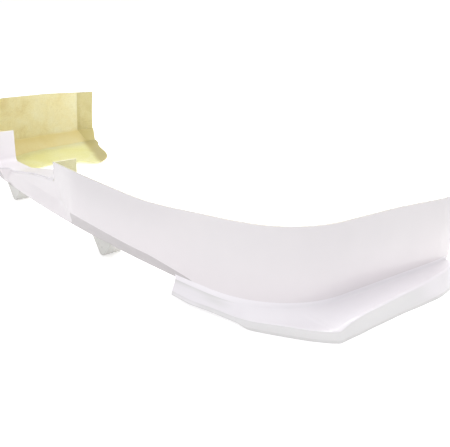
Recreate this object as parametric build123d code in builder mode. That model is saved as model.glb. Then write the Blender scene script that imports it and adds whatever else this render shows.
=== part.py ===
from build123d import *
from collections import namedtuple
import math
import os

# Rear under-bumper lip for a passenger car, hand-laid glass fibre, in millimetres.
# A U-shaped band: a bowed front run on the -Y side, two rounded corners and two legs
# that run towards +Y. +Z is up, X runs across the car and left is -X. The origin is the
# middle of the lip in plan, on the ground plane.
# The crease is the bottom outer edge of the band. In every section across the band,
# u is the distance inwards from the crease and z is the height.

# --- plan of the crease
front_y = -285.0          # crease at the centre line
front_half = 561.6        # half length of the bowed front run
front_sag = 38.9          # how far the front run bows over that length
corner_r = 208.4
leg_flare = 7.0           # legs splay outwards, degrees
leg_len = 362.0           # straight length past the corner

front_r = (front_half ** 2 + front_sag ** 2) / (2 * front_sag)
front_angle = math.asin(front_half / front_r)    # heading where the corner starts
leg_angle = math.radians(90 - leg_flare)         # heading along the leg
corner_x = front_half - corner_r * math.sin(front_angle)
corner_y = front_y + front_sag + corner_r * math.cos(front_angle)

# distances along the crease from the centre line
corner_start = front_r * front_angle
leg_start = corner_start + corner_r * (leg_angle - front_angle)
leg_end = leg_start + leg_len

# --- section of the band
skin_t = 0.6              # gelcoat
wall_t = 4.0              # gelcoat plus glass laminate
crease_z = 39.0
front_top = 171.0         # top edge across the front
corner_top = 195.0        # top edge round the corners
leg_top = 198.0           # top edge along the legs
end_top = 190.0           # top edge at the leg ends
top_in = 8.0              # top edge sits inside the crease by this much
tuck_out = 13.0           # the band overhangs the tucked strip by this much
tuck_h = 34.0             # overhang above the crease at the centre line
tuck_drop = 7.0           # how far the overhang comes down along the front
tuck_end_drop = 22.0      # how far it comes down again into the corner
plain_in = 11.0           # inset at overhang height where the tuck is left out
bulge = 3.0               # outward bulge at mid height
plain_bulge = 0.9         # the same where the tuck is left out
front_slope_w = 13.0      # width of the slope from crease to flange, front
corner_slope_w = 88.0     # the same round the corners
leg_slope_loss = 24.0     # the slope is this much narrower along the legs
flange_w = 46.0           # inward bottom flange
flange_end_loss = 0.35    # share of the flange width lost at the leg ends
front_flange_z = 35.0     # underside of the flange across the front
floor_z = 2.0             # underside of the flange round the corners and legs
bend_r = 3.0              # distance from a bend to the ends of its chamfer
bend_share = 0.3          # ... and at most this share of the neighbouring face
end_turn = 66.0           # last stretch of each leg turns inwards
end_turn_in = 5.0         # how far it turns in
end_turn_past = 0.4       # share of that stretch by which the easing runs past the end

# where the section changes, from and to along the crease
top_rise = (340, 640)
corner_top_rise = (corner_start + 80, leg_start)
end_top_fall = (leg_start + 120, leg_end)
tuck_fade = (430, 575)
tuck_fall = (120, 400)
tuck_end_fall = (400, 600)
flange_fall = (455, 560)
slope_narrowing = (leg_start - 60, leg_start + 120)
flange_narrowing = (leg_end - 60, leg_end)
# where the tuck is left out of the front, from and to in x
plain_l = -292.0
plain_r = 119.0
plain_fade_in = (plain_l - 14, plain_l + 14)
plain_fade_out = (plain_r - 95, plain_r + 20)

# --- raked cut through slope and floor at each leg end
rake_in = 280.0           # width of the rake
rake_back = 140.0         # how far back it reaches over that width
rake_start_u = 9.0
rake_start_v = leg_len - 1
rake_past = 60.0          # the cut runs past the leg end by this much
rake_z = -5.0
rake_h = crease_z + 3

# --- notch in the front run, left of centre
notch_l = -349.0
notch_r = 15.0
notch_z_l = 79.0
notch_z_r = 124.0
notch_open_z = 240.0      # its outline closes above the band
notch_fillet = 14.0
notch_back_y = -215.0     # back edge of its return flange
notch_cut_len = 130.0
return_len = 95.0
notch_plane = Plane.XZ.offset(-notch_back_y)

trim_u = 130.0            # reach of the trimming outline behind the band
trim_z = 230.0


def eased(value, start, end):
    """0 before start, 1 after end, smooth between."""
    share = min(1.0, max(0.0, (value - start) / (end - start)))
    return share * share * (3 - 2 * share)


# A station is (run, v, side): the run is "front", "corner" or "leg", v is the distance
# |x|, the fraction of the corner or the length along the leg, and side is -1 or 1.

def front_station(x):
    return ("front", abs(x), -1 if x < 0 else 1)


def crease_point(run, v):
    """Plan point on the crease, right-hand side, and the heading there."""
    if run == "front":
        angle = math.asin(v / front_r)
        return (v, front_y + front_r - front_r * math.cos(angle)), angle
    past = 0
    angle = leg_angle
    if run == "corner":
        angle = front_angle + (leg_angle - front_angle) * v
    else:
        past = v
    return (
        corner_x + corner_r * math.sin(angle) + past * math.cos(angle),
        corner_y - corner_r * math.cos(angle) + past * math.sin(angle),
    ), angle


def crease_length(run, v):
    """Distance along the crease from the centre line."""
    if run == "front":
        return front_r * math.asin(v / front_r)
    if run == "corner":
        return corner_start + corner_r * (leg_angle - front_angle) * v
    return leg_start + v


def inside(station, u):
    """Plan point u inside the crease."""
    run, v, side = station
    (x, y), angle = crease_point(run, v)
    return (side * (x - u * math.sin(angle)), y + u * math.cos(angle))


def frame(station):
    """Plane across the band: local x inwards, local y up."""
    run, v, side = station
    (x, y), angle = crease_point(run, v)
    return Plane(
        origin=(side * x, y, 0),
        x_dir=(-side * math.sin(angle), math.cos(angle), 0),
        z_dir=(math.cos(angle), side * math.sin(angle), 0),
    )


Band = namedtuple("Band", "top_z tuck_z tuck_u mid_u turn flange_z slope_w flange_w")


def band_at(station):
    """Section sizes at a station."""
    run, v, side = station
    s = crease_length(run, v)
    top_z = front_top + (corner_top - front_top) * eased(s, *top_rise)
    top_z += (leg_top - corner_top) * eased(s, *corner_top_rise)
    top_z += (end_top - leg_top) * eased(s, *end_top_fall)
    plain = 0.0
    if run == "front":
        x = side * v
        plain = eased(x, *plain_fade_in) * (1 - eased(x, *plain_fade_out))
    tuck = 1 - eased(s, *tuck_fade)
    tuck_z = (crease_z + tuck_h - tuck_drop * eased(s, *tuck_fall)
              - tuck_end_drop * eased(s, *tuck_end_fall))
    tuck_u = -tuck_out * tuck * (1 - plain) + plain_in * plain
    mid_u = (top_in + tuck_u) / 2 - bulge * (1 - plain) - plain_bulge * plain
    # scaled so that the turn is complete exactly at the leg end
    turn = (end_turn_in * eased(s, leg_end - end_turn, leg_end + end_turn * end_turn_past)
            / eased(1 / (1 + end_turn_past), 0, 1))
    low = eased(s, *flange_fall)
    flange_z = front_flange_z + (floor_z - front_flange_z) * low
    slope_w = (front_slope_w + (corner_slope_w - front_slope_w) * low
               - leg_slope_loss * eased(s, *slope_narrowing))
    width = flange_w * (1 - flange_end_loss * eased(s, *flange_narrowing))
    return Band(top_z, tuck_z, tuck_u, mid_u, turn, flange_z, slope_w, width)


def band_chain(station):
    """Outer face from the top edge to the end of the flange, bends chamfered (u, z)."""
    band = band_at(station)
    points = [
        (top_in + band.turn, band.top_z),
        (band.mid_u + band.turn, (band.top_z + band.tuck_z) / 2),
        (band.tuck_u + band.turn, band.tuck_z),
        (band.turn, crease_z),
        (band.slope_w + band.turn, band.flange_z),
        (band.slope_w + band.turn + band.flange_w, band.flange_z),
    ]
    chain = [points[0]]
    for before, bend, after in zip(points, points[1:], points[2:]):
        for other in (before, after):
            length = math.dist(other, bend)
            share = min(bend_r, length * bend_share) / length
            chain.append((bend[0] + (other[0] - bend[0]) * share,
                          bend[1] + (other[1] - bend[1]) * share))
    chain.append(points[-1])
    return chain


def offset_chain(chain, distance):
    """Shift a chain towards the inside of the band; its top edge stays level."""
    normals = []
    for start, end in zip(chain, chain[1:]):
        length = math.dist(start, end)
        normals.append((-(end[1] - start[1]) / length, (end[0] - start[0]) / length))
    shifted = [(chain[0][0] + distance / normals[0][0], chain[0][1])]
    for point, before, after in zip(chain[1:], normals, normals[1:]):
        mitre = (before[0] + after[0], before[1] + after[1])
        square = mitre[0] ** 2 + mitre[1] ** 2
        shifted.append((point[0] + 2 * mitre[0] / square * distance,
                        point[1] + 2 * mitre[1] / square * distance))
    shifted.append((chain[-1][0] + normals[-1][0] * distance,
                    chain[-1][1] + normals[-1][1] * distance))
    return shifted


def strip(chain, near, far):
    """Closed outline between two offsets of a chain."""
    return offset_chain(chain, near) + offset_chain(chain, far)[::-1]


def behind_band(station):
    """Outline of everything behind the outer face of the band, for trimming."""
    chain = band_chain(station)
    return chain[:-1] + [(trim_u, chain[-1][1]), (trim_u, trim_z), (chain[0][0], trim_z)]


def notch_outline(grow):
    """Notch opening (x, z), grown outwards by a margin."""
    left, right = notch_l - grow, notch_r + grow
    z_left, z_right = notch_z_l - grow, notch_z_r - grow
    return [(left, notch_open_z), (left, z_left), (-248, z_left + 3), (-108, z_right - 12),
            (-22, z_right - 1), (right, z_right), (right, notch_open_z)]


def rake_outline(side):
    """Plan outline of what is cut away at a leg end, below the wall."""
    return [inside(("leg", v, side), u) for u, v in (
        (rake_start_u, rake_start_v),
        (rake_start_u + rake_in, rake_start_v - rake_back),
        (rake_start_u + rake_in, leg_len + rake_past),
        (rake_start_u, leg_len + rake_past),
    )]


def largest(part):
    return Part() + part.solids().sort_by(SortBy.VOLUME)[-1]


def mirrored(part):
    with BuildPart() as other:
        add(mirror(part, about=Plane.YZ))
    return other.part


def gathered(parts):
    with BuildPart() as group:
        for part in parts:
            add(part)
    return group.part


os.makedirs("parts", exist_ok=True)


def save(part, name):
    part.label = name
    export_step(part, f"parts/{name}.step")


# --- laminate and gelcoat: the full band in two layers, cut for the notch and the rakes
front_xs = [
    -front_half, -530, -500, -470, -440, -405, -365, -330, -312, -301, -292, -283, -272,
    -240, -180, -100, -20, 20, 45, 70, 92, 110, 125, 140, 160, 190, 240, 300, 360, 405,
    440, 470, 500, 530, front_half,
]
corner_fractions = [0.14, 0.28, 0.43, 0.57, 0.71, 0.86, 1.0]
leg_lengths = [40, 90, 150, 215, 275, 300, 320, 342, leg_len]

# one side, from the front run to the leg end
side_stations = [("corner", v) for v in corner_fractions] + [("leg", v) for v in leg_lengths]
band_stations = (
    [(run, v, -1) for run, v in side_stations[::-1]]
    + [front_station(x) for x in front_xs]
    + [(run, v, 1) for run, v in side_stations]
)


def band_layer(near, far):
    """Layer of the band between two depths from its outer face."""
    with BuildPart() as layer:
        for station in band_stations:
            with BuildSketch(frame(station)):
                with BuildLine():
                    Polyline(*strip(band_chain(station), near, far), close=True)
                make_face()
        loft()
        with BuildSketch(notch_plane) as opening:
            with BuildLine():
                Polyline(*notch_outline(wall_t), close=True)
            make_face()
            fillet(opening.vertices(), radius=notch_fillet + wall_t)
        extrude(amount=notch_cut_len, mode=Mode.SUBTRACT)
        for side in (-1, 1):
            with BuildSketch(Plane.XY.offset(rake_z)):
                with BuildLine():
                    Polyline(*rake_outline(side), close=True)
                make_face()
            extrude(amount=rake_h, mode=Mode.SUBTRACT)
    return layer.part


laminate = band_layer(skin_t, wall_t)
gelcoat = band_layer(0, skin_t)
save(laminate, "laminate_shell")
save(gelcoat, "gelcoat_skin")

# --- return flange round the notch, running back behind the band
notch_xs = [-420, -385, -365, -330, -312, -301, -292, -283, -272, -240, -180, -100, -20,
            30, 60, 85]


def notch_return():
    with BuildPart() as flange:
        with BuildSketch(notch_plane) as outer:
            with BuildLine():
                Polyline(*notch_outline(wall_t), close=True)
            make_face()
            fillet(outer.vertices(), radius=notch_fillet + wall_t)
        extrude(amount=return_len)
        with BuildSketch(notch_plane) as inner:
            with BuildLine():
                Polyline(*notch_outline(0), close=True)
            make_face()
            fillet(inner.vertices(), radius=notch_fillet)
        extrude(amount=return_len, mode=Mode.SUBTRACT)
        for x in notch_xs:
            station = front_station(x)
            with BuildSketch(frame(station)):
                with BuildLine():
                    Polyline(*behind_band(station), close=True)
                make_face()
        loft(mode=Mode.INTERSECT)
        # level with the top edge of the band
        with BuildSketch(Plane.XY.offset(front_top)):
            Rectangle(900, 700)
        extrude(amount=100, mode=Mode.SUBTRACT)
    return largest(flange.part)


save(notch_return(), "notch_return")

# --- corner winglets: hollow wedges standing proud of the crease on each corner
winglet_t = 3.5
winglet_root_u = -0.5             # top inner edge, measured outwards from the crease
winglet_root_z = crease_z - 0.4
winglet_floor_u = -26.0           # inner edge of the winglet's floor
winglet_edge = 1.2                # size of the small bevels on the outer edges
# run and v of the inner point on the crease, outer top (x, y, z), outer bottom (x, y, z)
winglet_plan = [
    ("front", 478.4, (485, -272, 16.5), (487, -275, 8.5)),
    ("front", 525.0, (531, -268, 16.5), (535, -271, 8.0)),
    ("front", 558.0, (581, -254, 16.5), (584, -257, 7.5)),
    ("corner", 0.12, (634, -241, 17.0), (640, -244, 7.0)),
    ("corner", 0.22, (664, -232, 18.5), (668, -234, 0.0)),
    ("corner", 0.34, (698, -213, 20.5), (702, -214, 0.0)),
    ("corner", 0.44, (726, -194, 21.5), (731, -195, 0.0)),
    ("corner", 0.52, (756, -173, 21.5), (761, -174, 0.0)),
    ("corner", 0.60, (787, -147, 21.5), (794, -144, 0.0)),
    ("corner", 0.66, (795, -135, 23.0), (802, -132, 0.0)),
    ("corner", 0.74, (797, -113, 29.0), (804, -110, 0.0)),
    ("corner", 0.86, (801, -84, 36.0), (807, -80, 0.0)),
    ("leg", 0.0, (803, -52, 38.5), (809, -48, 0.0)),
    ("leg", 50.0, (805, -6, 38.8), (813, -3, 0.0)),
    ("leg", 110.0, (806, 50, 38.8), (818, 53, 0.0)),
    ("leg", 175.0, (808, 112, 38.8), (826, 114, 0.0)),
    ("leg", 240.0, (808, 176, 38.8), (832, 180, 0.0)),
    ("leg", 290.0, (807, 225, 38.8), (828, 228, 0.0)),
    ("leg", 322.0, (803, 262, 38.8), (820, 264, 2.0)),
    ("leg", 350.0, (797, 292, 38.8), (804, 294, 8.0)),
]


def winglet_section(run, v, top, bottom, side):
    """Plane through the crease point and the outer edge, and the closed C outline."""
    (x, y), angle = crease_point(run, v)
    band = band_at((run, v, side))
    x -= band.turn * math.sin(angle)
    y += band.turn * math.cos(angle)
    width = math.hypot(bottom[0] - x, bottom[1] - y)
    dir_x, dir_y = (bottom[0] - x) / width, (bottom[1] - y) / width
    top_w = (top[0] - x) * dir_x + (top[1] - y) * dir_y
    plane = Plane(
        origin=(side * x, y, 0),
        x_dir=(side * dir_x, dir_y, 0),
        z_dir=(dir_y, -side * dir_x, 0),
    )
    # how far in the lip's sloping underside is, just over a thickness below the crease
    back = band.slope_w / (crease_z - band.flange_z) * (winglet_t + 0.6)
    if run != "front":
        across = abs(-dir_x * math.sin(angle) + dir_y * math.cos(angle))
        back /= max(across, 0.3)
    top_z, bottom_z = min(top[2], winglet_root_z), bottom[2]
    fall = (top_z - winglet_root_z) / (top_w - winglet_root_u)
    outer = [
        (winglet_root_u, winglet_root_z),
        (top_w - 1.5, top_z - 1.5 * fall),
        (top_w, top_z - winglet_edge),
        (width, bottom_z + winglet_edge),
        (width - winglet_edge, bottom_z),
        (winglet_floor_u, bottom_z),
    ]
    floor = bottom_z + winglet_t
    roof = top_z - winglet_t
    cavity = [
        (winglet_floor_u, floor),
        (width - 2.6 - winglet_t, floor),
        (width - 0.8 - winglet_t, floor + 0.8),
        (top_w - 0.8 - winglet_t, max(roof - 1.0 - 4 * fall, floor + 1.6)),
        (top_w - 2.6 - winglet_t, max(roof - 6 * fall, floor + 2.2)),
        (-back * 0.8, winglet_root_z - winglet_t),
    ]
    return plane, outer + cavity


def winglet(side):
    with BuildPart() as wedge:
        for row in winglet_plan:
            plane, outline = winglet_section(*row, side)
            with BuildSketch(plane):
                with BuildLine():
                    Polyline(*outline, close=True)
                make_face()
        loft(ruled=True)
        add(gelcoat, mode=Mode.SUBTRACT)
        add(laminate, mode=Mode.SUBTRACT)
    return largest(wedge.part)


save(winglet(1), "winglet_right")
save(winglet(-1), "winglet_left")

# --- strakes: hollow V keels under the front flange
strake_x = 232.0
strake_top_half = 88.0 / 2
strake_foot_half = 15.0 / 2
strake_top_z = 46.0       # before trimming to the band
strake_y = front_y + 7    # -Y end
strake_len = 52.0
strake_end_t = 3.0        # wall at each end
# half outlines from the top down (distance from the middle, z)
strake_outer = [(strake_top_half, strake_top_z), (strake_foot_half + 2, 5),
                (strake_foot_half - 3, 1.5)]
strake_hollow = [(strake_top_half - 4, strake_top_z), (2.5, 6)]
strake_trim_xs = (150, 185, 215, 250, 285, 320)


def strake_outline(half):
    return ([(strake_x - out, z) for out, z in half]
            + [(strake_x + out, z) for out, z in half[::-1]])


def strake():
    with BuildPart() as keel:
        with BuildSketch(Plane.XZ.offset(-strake_y)):
            with BuildLine():
                Polyline(*strake_outline(strake_outer), close=True)
            make_face()
        extrude(amount=-strake_len)
        with BuildSketch(Plane.XZ.offset(-(strake_y + strake_end_t))):
            with BuildLine():
                Polyline(*strake_outline(strake_hollow), close=True)
            make_face()
        extrude(amount=-(strake_len - 2 * strake_end_t), mode=Mode.SUBTRACT)
        for x in strake_trim_xs:
            station = front_station(x)
            with BuildSketch(frame(station)):
                with BuildLine():
                    Polyline(*behind_band(station), close=True)
                make_face()
        loft(mode=Mode.SUBTRACT)
    return keel.part


strake_right = strake()
save(strake_right, "strake_right")
save(mirrored(strake_right), "strake_left")

# --- wide floor panels bonded onto the flange round each corner
panel_t = 3.0
panel_z = floor_z + wall_t
panel_lap = 6.0           # outer edge sits this far inside the foot of the slope
panel_outer = (
    [("corner", v, 1) for v in (0.02, 0.12, 0.28, 0.43, 0.57, 0.71, 0.86, 1.0)]
    + [("leg", v, 1) for v in (60, 120, 180, 240, 300, 350)]
)
# free inner edge (x, y), from the leg end back to the front
panel_inner = [
    (648, 244), (560, 212), (530, 203), (480, 181), (440, 146), (424, 122), (419, 112),
    (424, 96), (448, 72), (470, 40), (484, 6), (487, -20), (478, -60), (470, -92),
    (480, -120), (500, -150),
]


def panel_blank():
    """Right-hand floor panel before it is fitted to the band."""
    rim = []
    for station in panel_outer:
        band = band_at(station)
        rim.append(inside(station, band.slope_w + band.turn + panel_lap))
    with BuildPart() as panel:
        with BuildSketch(Plane.XY.offset(panel_z)):
            with BuildLine():
                edge = Spline(*rim)
                free = Spline(*panel_inner)
                Line(edge @ 1, free @ 0)
                Line(free @ 1, edge @ 0)
            make_face()
        extrude(amount=panel_t)
        with BuildSketch(Plane.XY.offset(rake_z)):
            with BuildLine():
                Polyline(*rake_outline(1), close=True)
            make_face()
        extrude(amount=rake_h, mode=Mode.SUBTRACT)
    return panel.part


def fitted_panel(blank):
    with BuildPart() as panel:
        add(blank)
        add(laminate, mode=Mode.SUBTRACT)
        add(gelcoat, mode=Mode.SUBTRACT)
    return largest(panel.part)


blank_right = panel_blank()
save(fitted_panel(blank_right), "floor_panel_right")
save(fitted_panel(mirrored(blank_right)), "floor_panel_left")

# --- doublers inside the last stretch of each leg, over wall and slope
doubler_t = 2.4
doubler_depth = wall_t + 1.2      # from the outer face of the band
doubler_foot = 6.0                # stops this far short of the foot of the slope
doubler_lengths = (298, 310, 323, 339, 360)


def doubler():
    with BuildPart() as sheet:
        for v in doubler_lengths:
            station = ("leg", v, 1)
            band = band_at(station)
            chain = [
                (top_in + band.turn, band.top_z - 1.5),
                (band.mid_u + band.turn, (band.top_z + band.tuck_z) / 2),
                (band.turn, crease_z + 2),
                (band.turn + band.slope_w - doubler_foot,
                 band.flange_z + doubler_foot * (crease_z - band.flange_z) / band.slope_w),
            ]
            with BuildSketch(frame(station)):
                with BuildLine():
                    Polyline(*strip(chain, doubler_depth, doubler_depth + doubler_t),
                             close=True)
                make_face()
        loft()
        with BuildSketch(Plane.XY.offset(rake_z)):
            with BuildLine():
                Polyline(*rake_outline(1), close=True)
            make_face()
        extrude(amount=rake_h, mode=Mode.SUBTRACT)
    return sheet.part


doubler_right = doubler()
save(doubler_right, "end_doubler_right")
save(mirrored(doubler_right), "end_doubler_left")

# --- foam sealing tape inside the top edge of the front run
bond_gap = 0.05           # clearance between the wall and what is stuck to it
tape_t = 1.2              # gap included
tape_span = (0.08, 0.30)  # top and bottom edge, as shares of the upper wall face
tape_xs = {
    "seal_tape_left": (-540, -510, -470, -430, -395, -365),
    "seal_tape_right": (35, 110, 190, 270, 350, 420, 480, 540),
}


def seal_tape(xs):
    with BuildPart() as tape:
        for x in xs:
            station = front_station(x)
            (top_u, top_z), (low_u, low_z) = band_chain(station)[:2]
            edge = [(top_u + (low_u - top_u) * share, top_z + (low_z - top_z) * share)
                    for share in tape_span]
            with BuildSketch(frame(station)):
                with BuildLine():
                    Polyline(*strip(edge, wall_t + bond_gap, wall_t + tape_t), close=True)
                make_face()
        loft()
        add(laminate, mode=Mode.SUBTRACT)
    return largest(tape.part)


for name, xs in tape_xs.items():
    save(seal_tape(xs), name)

# --- steel mounting tabs bonded inside the front run, each with a spring nut
tab_w = 32.0
tab_t = 2.0
tab_reach = 34.0          # horizontal leg, from the wall
tab_z = 148.0             # top of the horizontal leg
tab_hole_r = 3.5
tab_hole_u = 20.0         # hole centre, from the wall
pad_t = 1.0               # bond pad between wall and tab, gap included
pad_margin = 1.0          # the pad is this much narrower at each side
nut_t = 1.0               # sheet of the folded nut
nut_half_w = 8.0
nut_start = 11.0          # open end of the fold, from the wall
nut_gap = 1.2             # inside of the fold, past the free edge of the tab
nut_boss_r = 4.6
nut_boss_h = 4.0
nut_bore_r = 2.4
tab_xs = {
    "mounting_tab_far_left": -440.0,
    "mounting_tab_mid": 172.0,
    "mounting_tab_mid_right": 306.0,
    "mounting_tab_far_right": 440.0,
}


def tab_site(x):
    """Station, inner wall face as a function u(z), and the low end of the tab."""
    station = front_station(x)
    (top_u, top_z), (low_u, low_z) = offset_chain(band_chain(station), wall_t)[:2]
    lean = (low_u - top_u) / (low_z - top_z)

    def wall_u(z):
        return top_u + lean * (z - top_z)

    return station, wall_u, low_z + 2


def mounting_tab(x):
    station, wall_u, low = tab_site(x)
    top_u = wall_u(tab_z)
    under = tab_z - tab_t
    with BuildPart() as tab:
        with BuildSketch(frame(station)):
            with BuildLine():
                Polyline((wall_u(low) + pad_t, low), (top_u + pad_t, tab_z),
                         (top_u + tab_reach, tab_z), (top_u + tab_reach, under),
                         (wall_u(under) + pad_t + tab_t, under),
                         (wall_u(low) + pad_t + tab_t, low), close=True)
            make_face()
        extrude(amount=tab_w / 2, both=True)
        with BuildSketch(Plane(origin=(*inside(station, top_u + tab_hole_u), tab_z))):
            Circle(tab_hole_r)
        extrude(amount=-8, mode=Mode.SUBTRACT)
    return tab.part


def bond_pad(x):
    station, wall_u, low = tab_site(x)
    with BuildPart() as pad:
        with BuildSketch(frame(station)):
            with BuildLine():
                Polyline((wall_u(low) + bond_gap, low), (wall_u(tab_z) + bond_gap, tab_z),
                         (wall_u(tab_z) + pad_t, tab_z), (wall_u(low) + pad_t, low),
                         close=True)
            make_face()
        extrude(amount=tab_w / 2 - pad_margin, both=True)
        add(laminate, mode=Mode.SUBTRACT)
    return largest(pad.part)


def spring_nut(x):
    """Folded nut gripping the free edge of a tab, with a boss below it."""
    station, wall_u, _ = tab_site(x)
    top_u = wall_u(tab_z)
    start = top_u + nut_start
    fold = top_u + tab_reach + nut_gap
    under = tab_z - tab_t
    hole_x, hole_y = inside(station, top_u + tab_hole_u)
    with BuildPart() as nut:
        with BuildSketch(frame(station)):
            with BuildLine():
                Polyline((start, tab_z), (fold, tab_z), (fold, under), (start, under),
                         (start, under - nut_t), (fold + nut_t, under - nut_t),
                         (fold + nut_t, tab_z + nut_t), (start, tab_z + nut_t), close=True)
            make_face()
        extrude(amount=nut_half_w, both=True)
        with BuildSketch(Plane(origin=(hole_x, hole_y, under - nut_t))):
            Circle(nut_boss_r)
        extrude(amount=-nut_boss_h)
        with BuildSketch(Plane(origin=(hole_x, hole_y, tab_z + 2))):
            Circle(nut_bore_r)
        extrude(amount=-12, mode=Mode.SUBTRACT)
    return nut.part


for name, x in tab_xs.items():
    save(mounting_tab(x), name)
save(gathered([bond_pad(x) for x in tab_xs.values()]), "tab_bond_pads")
save(gathered([spring_nut(x) for x in tab_xs.values()]), "spring_nuts")
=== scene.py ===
"""A moulded laminate band, open at the back: a curved front, two corners and two legs.

X runs across (left is -X), the front faces -Y, the legs run back towards +Y, Z is up.
Shapes are worked out in millimetres and built in metres.
A section is a chain of (u, z) points: u is measured inwards from the crease, a line that
runs round the band at CREASE_Z.  A station is a distance s along the crease from the
centre of the front, with a side: -1 left, 1 right.
"""
import math
from types import SimpleNamespace

import bmesh
import bpy
import numpy as np
from mathutils import Matrix, Vector


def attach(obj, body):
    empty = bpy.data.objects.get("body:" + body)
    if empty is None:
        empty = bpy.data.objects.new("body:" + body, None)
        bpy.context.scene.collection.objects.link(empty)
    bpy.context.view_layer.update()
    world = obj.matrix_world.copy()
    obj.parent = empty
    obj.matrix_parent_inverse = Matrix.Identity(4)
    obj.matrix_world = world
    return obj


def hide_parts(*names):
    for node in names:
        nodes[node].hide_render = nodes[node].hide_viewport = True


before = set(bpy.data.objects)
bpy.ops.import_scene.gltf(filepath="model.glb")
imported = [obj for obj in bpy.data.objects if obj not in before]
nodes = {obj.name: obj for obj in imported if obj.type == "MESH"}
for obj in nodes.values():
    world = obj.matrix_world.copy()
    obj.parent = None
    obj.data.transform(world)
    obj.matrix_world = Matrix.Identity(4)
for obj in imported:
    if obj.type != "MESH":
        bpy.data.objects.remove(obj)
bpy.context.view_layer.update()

# ---------------------------------------------------------------------------
# Dimensions, in millimetres
# ---------------------------------------------------------------------------
# Plan of the crease
FRONT_Y = -285.0
FRONT_HALF = 561.6    # half the chord of the front arc
FRONT_SAG = 38.9
CORNER_RADIUS = 208.4
LEG_FLARE = 7.0       # degrees, outwards
LEG_LENGTH = 362.0
FRONT_RADIUS = (FRONT_HALF ** 2 + FRONT_SAG ** 2) / (2 * FRONT_SAG)
FRONT_ANGLE = math.asin(FRONT_HALF / FRONT_RADIUS)
LEG_ANGLE = math.radians(90 - LEG_FLARE)
CORNER_X = FRONT_HALF - CORNER_RADIUS * math.sin(FRONT_ANGLE)
CORNER_Y = FRONT_Y + FRONT_SAG + CORNER_RADIUS * math.cos(FRONT_ANGLE)
# Distances along the crease where each part ends
FRONT_END = FRONT_RADIUS * FRONT_ANGLE
CORNER_END = FRONT_END + CORNER_RADIUS * (LEG_ANGLE - FRONT_ANGLE)
LEG_END = CORNER_END + LEG_LENGTH

# Layers
SKIN = 0.6
WALL = 4.0

# Section
CREASE_Z = 39.0
FRONT_TOP, CORNER_TOP, LEG_TOP, END_TOP = 171.0, 195.0, 198.0, 190.0
TOP_IN = 8.0          # the top edge stands this far inside the crease
TUCK_OUT = 13.0       # the wall bulges this far outside the crease
CALM_IN = 11.0        # the wall stands this far inside, below the notch
CALM_LEFT, CALM_RIGHT = -292.0, 119.0
FLANGE_WIDTH = 46.0
FRONT_FLANGE_Z, FLOOR_Z = 35.0, 2.0
FRONT_SLOPE, FLOOR_SLOPE = 13, 88   # how far in the slope runs
END_TURN = 66.0       # length over which a leg end turns in
END_TURN_IN = 5.0

# Notch in the top of the front
NOTCH_LEFT, NOTCH_RIGHT = -349.0, 15.0
NOTCH_LEFT_Z, NOTCH_RIGHT_Z = 79.0, 124.0

# Raked cut across the floor at each leg end
RAKE_NEAR, RAKE_FAR = 9.0, 289   # inward reach of the line
RAKE_GAP = 1          # from the leg end to the start of the line
RAKE_RUN = 140        # how far the line falls back
RAKE_CURVE = 7

# Doublers
DOUBLER_START = 292
DOUBLER_RAKE_NEAR = 16.0

# Points on each rounded section corner, and steps along the straight runs between them
CORNER_POINTS = 5
RUN_STEPS = (8, 8, 5, 10, 6)


# ---------------------------------------------------------------------------
# The crease and the section
# ---------------------------------------------------------------------------
def ease(start, end, value):
    """Smoothstep from 0 at start to 1 at end."""
    k = min(1.0, max(0.0, (value - start) / (end - start)))
    return k * k * (3 - 2 * k)


def crease_at(s):
    """Crease point (right side) and heading at distance s from the centre line."""
    if s <= FRONT_END:
        angle = s / FRONT_RADIUS
        return (FRONT_RADIUS * math.sin(angle),
                FRONT_Y + FRONT_RADIUS - FRONT_RADIUS * math.cos(angle)), angle
    along = max(0.0, s - CORNER_END)
    angle = LEG_ANGLE if s > CORNER_END else FRONT_ANGLE + (s - FRONT_END) / CORNER_RADIUS
    return (CORNER_X + CORNER_RADIUS * math.sin(angle) + along * math.cos(angle),
            CORNER_Y - CORNER_RADIUS * math.cos(angle) + along * math.sin(angle)), angle


def leg_point(side, inward, along):
    """Plan point measured inwards from the crease and along a leg."""
    (x, y), angle = crease_at(CORNER_END + along)
    return (side * (x - inward * math.sin(angle)), y + inward * math.cos(angle))


def controls(s, side):
    """Dimensions of the section at a station, each eased between distances along the crease."""
    top_z = FRONT_TOP + (CORNER_TOP - FRONT_TOP) * ease(340, 640, s)
    top_z += (LEG_TOP - CORNER_TOP) * ease(FRONT_END + 80, CORNER_END, s)
    top_z += (END_TOP - LEG_TOP) * ease(CORNER_END + 120, LEG_END, s)
    # 1 where the wall is smooth below the notch, 0 where it bulges
    calm = 0.0
    if s <= FRONT_END:
        x = side * crease_at(s)[0][0]
        calm = ease(CALM_LEFT - 14, CALM_LEFT + 14, x)
        calm *= 1 - ease(CALM_RIGHT - 95, CALM_RIGHT + 20, x)
    tuck = 1 - ease(430, 575, s)
    tuck_u = -TUCK_OUT * tuck * (1 - calm) + CALM_IN * calm
    turn = END_TURN_IN * ease(LEG_END - END_TURN, LEG_END + END_TURN * 0.4, s)
    turn /= ease(0, 1, 1 / 1.4)   # so the turn is full at the leg end
    low = ease(455, 560, s)       # the flange drops to the floor
    slope = FRONT_SLOPE + (FLOOR_SLOPE - FRONT_SLOPE) * low
    return SimpleNamespace(
        top_z=top_z,
        tuck_z=CREASE_Z + 34 - 7 * ease(120, 400, s) - 22 * ease(400, 600, s),
        tuck_u=tuck_u,
        middle_u=(TOP_IN + tuck_u) / 2 - 3 * (1 - calm) - 0.9 * calm,
        turn=turn,
        flange_z=FRONT_FLANGE_Z + (FLOOR_Z - FRONT_FLANGE_Z) * low,
        slope=slope - 24 * ease(CORNER_END - 60, CORNER_END + 120, s),
        flange=FLANGE_WIDTH * (1 - 0.35 * ease(LEG_END - 60, LEG_END, s)),
    )


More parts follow.
